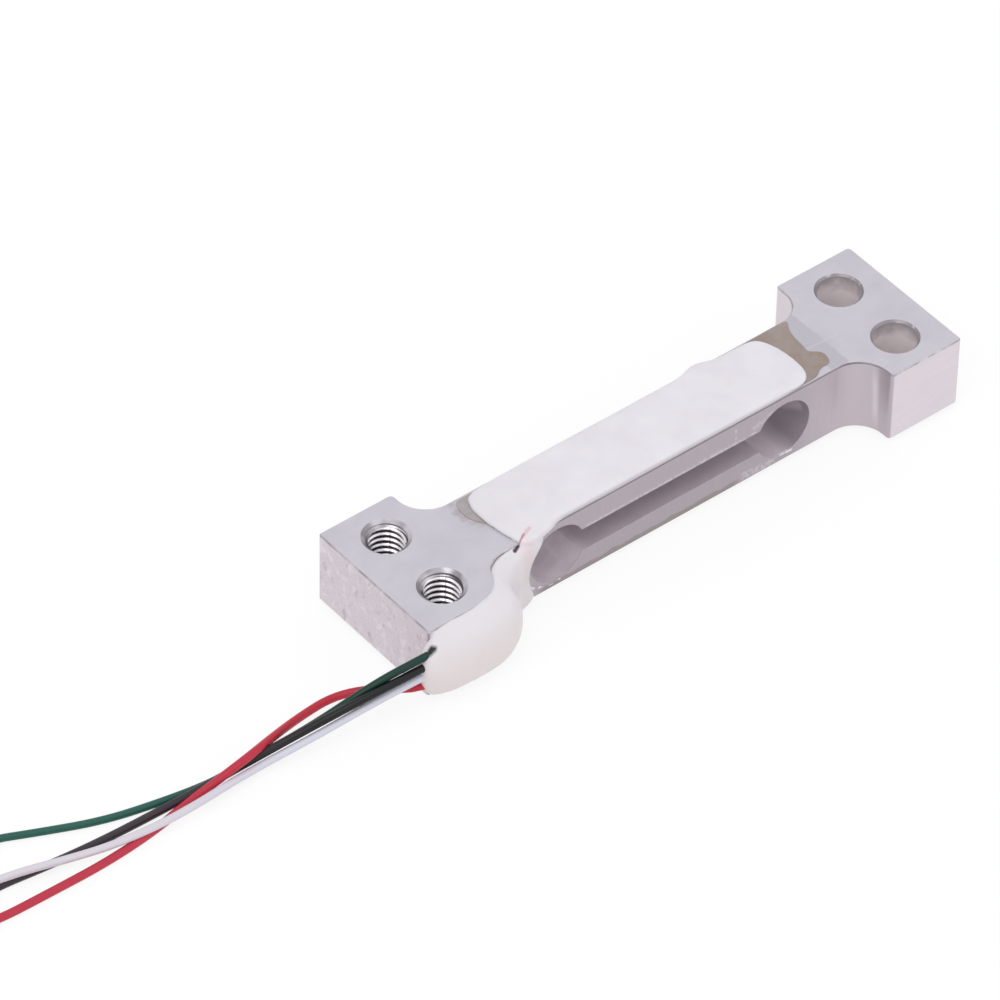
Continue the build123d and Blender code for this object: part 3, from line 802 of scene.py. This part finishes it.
def thread(hole_y, drop):
    shape = bmesh.new()
    half = thread_pitch / 2
    outside = hole_radius + wall_overlap
    ridge = [(outside, -half * 0.96), (thread_crest, -0.04), (thread_crest, 0.04), (outside, half * 0.96)]
    verts = [shape.verts.new((x, 0, z)) for x, z in ridge]
    edges = [shape.edges.new(pair) for pair in zip(verts, verts[1:] + verts[:1])]
    turns = (top_z + 2 * thread_pitch + drop) / thread_pitch
    steps = round(turns * thread_steps)
    bmesh.ops.translate(shape, verts=verts, vec=(0, 0, -thread_pitch - drop))
    bmesh.ops.spin(shape, geom=verts + edges, cent=(0, 0, 0), axis=(0, 0, 1), steps=steps,
                   angle=math.radians(360) * steps / thread_steps,
                   dvec=(0, 0, thread_pitch / thread_steps))
    for height, side in ((mouth_depth, -1), (top_z - mouth_depth, 1)):
        geometry = shape.verts[:] + shape.edges[:] + shape.faces[:]
        bmesh.ops.bisect_plane(shape, geom=geometry, plane_co=(0, 0, height), plane_no=(0, 0, side),
                               clear_outer=True)
    for vert in shape.verts:
        from_mouth = min(vert.co.z, top_z - vert.co.z)
        radius = vert.co.xy.length
        stretch = max(mouth_radius - from_mouth - 0.005, radius) / radius
        vert.co = (vert.co.x * stretch, vert.co.y * stretch, vert.co.z)
    bmesh.ops.holes_fill(shape, edges=shape.edges, sides=0)
    bmesh.ops.recalc_face_normals(shape, faces=shape.faces)
    bmesh.ops.translate(shape, verts=shape.verts, vec=(0, hole_y, 0))
    return shape


for name, hole_y, drop in zip(("thread_front", "thread_back"), hole_ys, (0.22, 0.16)):
    ridge = make_piece(name, thread(hole_y, drop), thread_metal, sharp=25)
    print(name, len(ridge.data.polygons), "faces")

# %% [markdown]
# The white silicone was pressed on by hand: a strip over the top gauges, and a lump on the block's
# side, over the joints of the leads. Near the window the two run into each other. Shapes that flow
# together like that are hard to model as one mesh, so each is a simple closed cage, the cages are
# rounded by subdivision, and a voxel remesh melts them into one skin, which is then relaxed.

# %% Helpers for melted shapes
def subdivided(shape, levels):
    """A closed cage rounded by subdivision."""
    mesh = bpy.data.meshes.new("cage")
    shape.to_mesh(mesh)
    shape.free()
    cage = bpy.data.objects.new("cage", mesh)
    bpy.context.collection.objects.link(cage)
    rounding = cage.modifiers.new("rounding", "SUBSURF")
    rounding.levels = rounding.render_levels = levels
    return finished(cage)


def finished(thing):
    """The mesh of an object with its modifiers, as a new shape. The object goes."""
    seen = thing.evaluated_get(bpy.context.evaluated_depsgraph_get())
    mesh = bpy.data.meshes.new_from_object(seen)
    shape = bmesh.new()
    shape.from_mesh(mesh)
    bpy.data.meshes.remove(mesh)
    bpy.data.objects.remove(thing)
    return shape


def melted(shapes, voxel, rounds):
    """Closed shapes run into one skin, relaxed by so many rounds of smoothing."""
    joined = bpy.data.meshes.new("joined")
    whole = bmesh.new()
    for shape in shapes:
        shape.to_mesh(joined)
        whole.from_mesh(joined)
        shape.free()
    whole.to_mesh(joined)
    whole.free()
    thing = bpy.data.objects.new("joined", joined)
    bpy.context.collection.objects.link(thing)
    remesh = thing.modifiers.new("melt", "REMESH")
    remesh.mode = "VOXEL"
    remesh.voxel_size = voxel
    skin = finished(thing)
    for _ in range(rounds):
        bmesh.ops.smooth_vert(skin, verts=skin.verts, factor=0.5, use_axis_x=True, use_axis_y=True,
                              use_axis_z=True)
    return skin


# %% Strip over the top gauges
# How far in and up each ring of the strip's crown lies from the one before
strip_side = 0.08
strip_crown = ((0.06, 0.13), (0.14, 0.1), (0.3, 0.07), (0.3, 0.03))
# Each point of the rim has its place and the height down to which the silicone reaches there
strip_rim = [
    (6.7, 2.82, 5.9), (6.33, 2.2, 5.8), (6.07, 1.5, 5.8), (6.01, 0.8, 5.8), (6.03, 0.0, 5.8),
    (6.11, -0.9, 5.8), (6.27, -1.8, 5.8), (6.48, -2.65, 5.8), (6.6, -3.4, 5.5), (7.6, -3.6, 5.3),
    (8.5, -3.32, 5.35), (9.5, -3.03, 5.9), (11.0, -3.05, 5.92), (13.5, -3.07, 5.9), (16.5, -3.07, 5.88),
    (19.5, -3.05, 5.9), (22.5, -3.03, 5.93), (26.0, -3.02, 5.94), (29.5, -3.02, 5.94), (31.2, -2.98, 5.95),
    (32.2, -2.8, 5.8), (32.7, -2.2, 5.8), (32.88, -1.4, 5.8), (32.9, -0.4, 5.8), (32.82, 0.5, 5.8),
    (32.62, 1.4, 5.8), (32.3, 2.2, 5.8), (31.8, 2.72, 5.8), (30.6, 2.76, 5.8), (29.4, 2.74, 5.8),
    (28.5, 2.8, 5.86), (27.9, 3.02, 5.86), (27.3, 3.24, 5.9), (26.7, 3.26, 5.9), (26.1, 3.1, 5.88),
    (25.4, 2.88, 5.86), (24.0, 2.86, 5.86), (20.0, 2.86, 5.86), (15.0, 2.87, 5.86), (10.0, 2.87, 5.86),
]


def strip_cage():
    shape = bmesh.new()
    verts = [shape.verts.new(point) for point in strip_rim]
    base = shape.faces.new(verts)
    top = bmesh.ops.extrude_face_region(shape, geom=[base])["geom"]
    for vert in verts_in(top):
        vert.co.z = top_z + strip_side
    crown = [face for face in top if isinstance(face, bmesh.types.BMFace)]
    bmesh.ops.recalc_face_normals(shape, faces=shape.faces)
    for inward, rise in strip_crown:
        bmesh.ops.inset_region(shape, faces=crown, thickness=inward, depth=rise, use_even_offset=True)
    return subdivided(shape, 2)


# %% Lump over the joints
# Each station is a place on the metal, the direction in which the silicone stands out from it, how far
# it does at each of the heights, and how far it laps onto the block's top. The rim is where the lump
# ends on the neck's front at each height, and the root closes its outline inside the metal.
lump_heights = [-0.1, 0.5, 1.5, 2.7, 4.0, 4.8, 5.4, 5.75]
lump_stations = [
    (-3.45, -5.7, 190, [-0.2, 0.15, 0.7, 1.1, 0.95, 0.1, -0.3, -0.3], -0.2),
    (-3.4, -6.0, 215, [-0.25, 0.35, 1.25, 1.5, 1.45, 0.65, -0.05, -0.2], -0.2),
    (-3.0, -6.0, 240, [0.0, 0.65, 1.4, 1.65, 1.6, 1.15, 0.55, 0.15], -0.2),
    (-1.9, -6.0, 262, [0.4, 1.05, 1.65, 1.85, 1.7, 1.3, 0.8, 0.3], -0.15),
    (0.2, -6.0, 270, [0.6, 1.15, 1.7, 1.9, 1.75, 1.4, 0.9, 0.45], 0.04),
    (2.2, -6.0, 284, [0.6, 1.0, 1.5, 1.75, 1.7, 1.4, 1.0, 0.65], 0.42),
    (3.2, -5.75, 305, [0.4, 0.85, 1.2, 1.35, 1.4, 1.2, 0.95, 0.7], 0.85),
    (3.25, -4.7, 318, [1.1, 1.5, 1.75, 1.85, 1.7, 1.4, 1.1, 0.8], 0.25),
    (3.8, -3.6, 315, [1.35, 1.7, 1.95, 2.05, 1.9, 1.65, 1.35, 1.05], 0.0),
    (5.2, -3.0, 298, [1.1, 1.2, 1.3, 1.35, 1.35, 1.25, 1.15, 0.95], 0.0),
    (6.6, -3.0, 282, [0.4, 0.5, 0.6, 0.65, 0.7, 0.7, 0.7, 0.6], 0.1),
]
lump_rim = [8.35, 8.1, 7.75, 7.6, 8.05, 8.75, 8.85, 8.75]
lump_root = [(5.0, -2.4), (3.0, -3.4), (2.0, -4.6), (-3.0, -5.2)]
# Three more levels close it over the block's edge: the share of the lap, the rise and how far it stands out
lump_closing = ((0.35, 0.16, 0.3), (1.0, 0.12, 0.0), (1.0, -0.35, -0.15))
sunk = 0.02


def stand_off(station, reach, height):
    """The place that far out from a station, at that height."""
    x, y, angle = station[:3]
    return x + reach * math.cos(math.radians(angle)), y + reach * math.sin(math.radians(angle)), height


def lump_ring(shape, rim_x, places):
    """One closed level of the lump, from its places outside and its fixed ones inside the metal."""
    low = min(z for _, _, z in places)
    places = places + [(rim_x - 0.4, -neck_side - 0.3, low), (rim_x, -neck_side - 0.05, low),
                       (rim_x - 0.3, -2.6, low)] + [(x, y, low) for x, y in lump_root]
    verts = [shape.verts.new(place) for place in places]
    return [shape.edges.new(pair) for pair in zip(verts, verts[1:] + verts[:1])]


def lump_cage():
    shape = bmesh.new()
    rings = []
    for level, height in enumerate(lump_heights):
        places = [stand_off(station, station[3][level], height) for station in lump_stations]
        rings.append(lump_ring(shape, lump_rim[level], places))
    for share, rise, out in lump_closing:
        places = []
        for station in lump_stations:
            top_out, lap = station[3][-1], station[4]
            lift = top_z - sunk
            if lap > 0:
                reach = out * (top_out if out > 0 else 1) - share * lap
                lift += rise * min(lap / 0.3, 1) if rise > 0 else rise
            else:
                reach = 0.3 * top_out + share * (lap - 0.1) + (0 if rise > 0 else -0.45)
            places.append(stand_off(station, reach, lift))
        rings.append(lump_ring(shape, lump_rim[-1], places))
    for lower, upper in zip(rings, rings[1:]):
        bmesh.ops.bridge_loops(shape, edges=lower + upper)
    bmesh.ops.holes_fill(shape, edges=rings[0] + rings[-1], sides=0)
    bmesh.ops.recalc_face_normals(shape, faces=shape.faces)
    return subdivided(shape, 2)


# %% Melt them into one skin
skin = melted([strip_cage(), lump_cage()], voxel=0.09, rounds=4)
skin.normal_update()
crease_start, crease_end = Vector((5.95, -3.32)), Vector((6.85, -2.9))
crease_width = 0.24
crease_depth = 0.14
crease_above = 5.7
for vert in skin.verts:
    # Silicone pressed on by hand is never even, and the lump is less even than the strip
    uneven = 0.015 + 0.035 * min(max((8 - vert.co.x) / 2, 0), 1)
    vert.co += vert.normal * uneven * noise.noise(vert.co * 0.7)
    foot, share = intersect_point_line(vert.co.xy, crease_start, crease_end)
    foot = crease_start.lerp(crease_end, min(max(share, 0), 1))
    inside = 1 - (vert.co.xy - foot).length / crease_width
    if inside > 0 and vert.co.z > crease_above:
        vert.co.z -= crease_depth * inside ** 2
coat = make_piece("silicone_coat", skin, silicone, ["coating_top", "potting"], sharp=80)
print("silicone:", len(coat.data.polygons), "faces")

# %% [markdown]
# Under the neck lies the twin of the strip, pressed flat by the table. It starts from its outline too,
# but its rim is bevelled instead of domed, because the part rests on it.

# %% Pad under the bottom gauges
pad_side = 2.5
pad_narrowing = 0.86
pad_sunk = 0.02
pad_bevel = 0.2


def pad_shape():
    shape = bmesh.new()
    outline = [(x, max(min(pad_narrowing * y, pad_side), -pad_side)) for x, y, _ in strip_rim]
    base = shape.faces.new([shape.verts.new((x, y, pad_sunk)) for x, y in outline])
    base.normal_update()
    if base.normal.z > 0:
        base.normal_flip()
    low = bmesh.ops.extrude_face_region(shape, geom=[base])["geom"]
    bmesh.ops.translate(shape, verts=verts_in(low), vec=(0, 0, table_z - pad_sunk))
    rim = [edge for edge in shape.edges if all(vert.co.z < table_z + 0.01 for vert in edge.verts)]
    bmesh.ops.bevel(shape, geom=rim, offset=pad_bevel, offset_type="OFFSET", segments=4, profile=0.5,
                    affect="EDGES", material=-1)
    bmesh.ops.recalc_face_normals(shape, faces=shape.faces)
    return shape


pad = make_piece("silicone_pad", pad_shape(), silicone, ["coating_bottom"])
print("pad:", len(pad.data.polygons), "faces")

# %% [markdown]
# The adhesive is a film as thin as paper, and only its ragged rim shows: a crescent at the strip's near
# end and a wide brown patch at its far end. Its outline is drawn from the picture, extruded by
# the film's thickness and given a soft rim.

# %% Adhesive films
film_thickness = 0.04
film_lift = 0.002
film_outline = [
    (5.75, 2.88), (5.48, 2.3), (5.35, 1.6), (5.38, 1.05), (5.58, 0.5), (5.85, 0.05), (6.15, -0.35),
    (6.5, -1.0), (6.6, -2.6), (19.0, -2.7), (32.0, -2.78), (32.85, -2.84), (33.4, -2.62), (33.7, -2.3),
    (34.2, -2.28), (34.75, -2.25), (34.9, -1.85), (35.0, -1.4), (34.9, -1.0), (34.5, -0.7),
    (34.2, -0.45), (34.32, 0.0), (34.36, 0.6), (34.4, 1.25), (34.6, 1.95), (34.9, 2.45),
    (35.15, 2.82), (34.4, 2.9), (33.2, 2.88), (31.5, 2.8), (19.0, 2.7), (7.0, 2.7),
]


def film(outline, start, thickness):
    """A thin sheet with that outline and a rounded rim."""
    shape = bmesh.new()
    base = shape.faces.new([shape.verts.new((x, y, start)) for x, y in outline])
    lifted = bmesh.ops.extrude_face_region(shape, geom=[base])["geom"]
    bmesh.ops.translate(shape, verts=verts_in(lifted), vec=(0, 0, thickness))
    bmesh.ops.recalc_face_normals(shape, faces=shape.faces)
    broad = [face for face in shape.faces if len(face.verts) > 4]
    for inward in (0.02, 0.06):
        bmesh.ops.inset_region(shape, faces=broad, thickness=inward, use_even_offset=True)
    return subdivided(shape, 2)


top_film = make_piece("adhesive_film_top", film(film_outline, top_z + film_lift, film_thickness), adhesive,
                      ["adhesive_top"])
bottom_film = make_piece("adhesive_film_bottom", film(film_outline, -film_lift, -film_thickness), adhesive,
                         ["adhesive_bottom"])
print("films of", film_thickness, "mm")

# %% [markdown]
# The pieces sealed inside keep the exact shape of their solids and get a finish each: amber film with
# copper-coloured foil on top of it, a green board, bright solder and enamelled copper wire.


# %% Sealed pieces
def gauge_finish():
    material, shader = start_material("gauge_film", (0.5, 0.26, 0.08), 0.35)
    foil = past(off(axes_of()[2], middle_z), 3.105, 3.115)
    backing = blend(grain(0.8), (0.52, 0.27, 0.09), (0.45, 0.22, 0.06))
    link(blend(foil, backing, (0.7, 0.5, 0.36)), shader, "Base Color")
    link(foil, shader, "Metallic")
    return material


def board_finish():
    material, shader = start_material("board_laminate", (0.1, 0.2, 0.06), 0.5)
    weave = blend(grain(0.15, (3, 1, 1), 2), (0.11, 0.21, 0.07), (0.08, 0.16, 0.05))
    link(weave, shader, "Base Color")
    return material


give(["gauge_top_near", "gauge_top_far", "gauge_bottom_near", "gauge_bottom_far"], gauge_finish())
give(["terminal_board"], board_finish())
give(["solder_joints"], tin)
print("finished the sealed pieces")

# %% [markdown]
# The four jumpers run from the joints to the gauges inside the silicone. They were pressed down into it
# while it was soft, so each lies a little nearer the metal than its solid does.

# %% Jumpers
jumper_dia = 0.16
jumpers = {
    "jumper_top_red": [
        (0.5, -6.6, 4.8), (2.6, -6.5, 4.85), (3.6, -5.9, 4.9), (3.9, -4.7, 5.0), (4.6, -3.9, 5.2),
        (5.6, -3.4, 5.45), (6.9, -3.25, 5.85), (7.4, -2.9, 6.17), (7.9, -1.4, 6.18), (8.5, 0.75, 6.18)],
    "jumper_top_black": [
        (0.5, -6.6, 3.8), (2.6, -6.6, 3.9), (3.7, -6.0, 4.1), (4.0, -4.9, 4.3), (4.8, -4.0, 4.6),
        (6.2, -3.4, 5.2), (7.4, -3.2, 5.85), (7.8, -2.8, 6.17), (8.1, -1.8, 6.18), (8.5, -0.75, 6.18)],
    "jumper_bottom_white": [
        (0.5, -6.6, 2.8), (2.6, -6.6, 2.6), (3.7, -5.9, 2.2), (4.2, -4.6, 1.5), (5.2, -3.7, 0.8),
        (6.2, -3.25, 0.15), (6.8, -2.8, -0.2), (7.4, -1.0, -0.2), (8.5, 0.75, -0.2)],
    "jumper_bottom_green": [
        (0.5, -6.6, 1.8), (2.6, -6.6, 1.7), (3.7, -6.0, 1.4), (4.3, -4.8, 0.9), (5.6, -3.7, 0.5),
        (6.7, -3.25, 0.12), (7.2, -2.8, -0.2), (7.7, -1.8, -0.2), (8.5, -0.75, -0.2)],
}

for name, points in jumpers.items():
    enamel = insulation["black" if name.endswith("black") else "red"]
    jumper, _ = wire_along(name + "_wire", points, jumper_dia, enamel, 5, 2)
    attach(jumper, "root")
    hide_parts(name)
print("laid", len(jumpers), "jumpers")

# %% [markdown]
# Last come the table and the light. The picture has a plain white ground, so camera and mirror rays see
# the table as a white that glows a little, while other rays see plain pale paint, which keeps a soft
# shadow. The world gives even light from all round, and two large lamps give the metal its gradient.

# %% Table
table_mesh = bpy.data.meshes.new("table")
table_shape = bmesh.new()
bmesh.ops.create_grid(table_shape, x_segments=1, y_segments=1, size=0.6)
bmesh.ops.translate(table_shape, verts=table_shape.verts, vec=(0, 0, table_z * MM))
table_shape.to_mesh(table_mesh)
table_shape.free()
table = bpy.data.objects.new("table", table_mesh)
bpy.context.collection.objects.link(table)


def seen_directly():
    """A mask for what the camera sees, itself, in a mirror or through something clear."""
    rays = add_node("LightPath").outputs
    seen = reckon("MAXIMUM", rays["Is Camera Ray"], rays["Is Glossy Ray"])
    return reckon("MAXIMUM", seen, rays["Is Transmission Ray"])


def table_finish():
    material, shader = start_material("white_table", (0.9, 0.9, 0.9), 0.8)
    glow = add_node("Emission", Color=(1, 1, 1, 1), Strength=1.03)
    mix = add_node("MixShader", _0=times(seen_directly(), 0.82), _1=shader.outputs[0], _2=glow.outputs[0])
    link(mix.outputs[0], tree.nodes["Material Output"], "Surface")
    return material


table.data.materials.append(table_finish())

# %% World
world = bpy.data.worlds.new("studio")
world.use_nodes = True
bpy.context.scene.world = world
tree = world.node_tree
sky = tree.nodes["Background"]
sky.inputs["Color"].default_value = (1, 1, 1, 1)
strength = add_node("MapRange", Value=seen_directly(), To_Min=0.8, To_Max=1.0)
link(strength.outputs["Result"], sky, "Strength")


# %% Lamps
def lamp(name, place, power, size):
    light = bpy.data.lights.new(name, "AREA")
    light.energy = power
    light.size = size
    holder = bpy.data.objects.new(name, light)
    holder.location = place
    holder.rotation_euler = (view_target - Vector(place)).to_track_quat("-Z", "Y").to_euler()
    bpy.context.collection.objects.link(holder)


lamp("key_lamp", (-0.22, -0.1, 0.4), 0.5, 0.3)
lamp("fill_lamp", (0.3, -0.35, 0.25), 0.2, 0.35)
bpy.context.scene.view_settings.view_transform = "Standard"
print("table, world and two lamps are set")
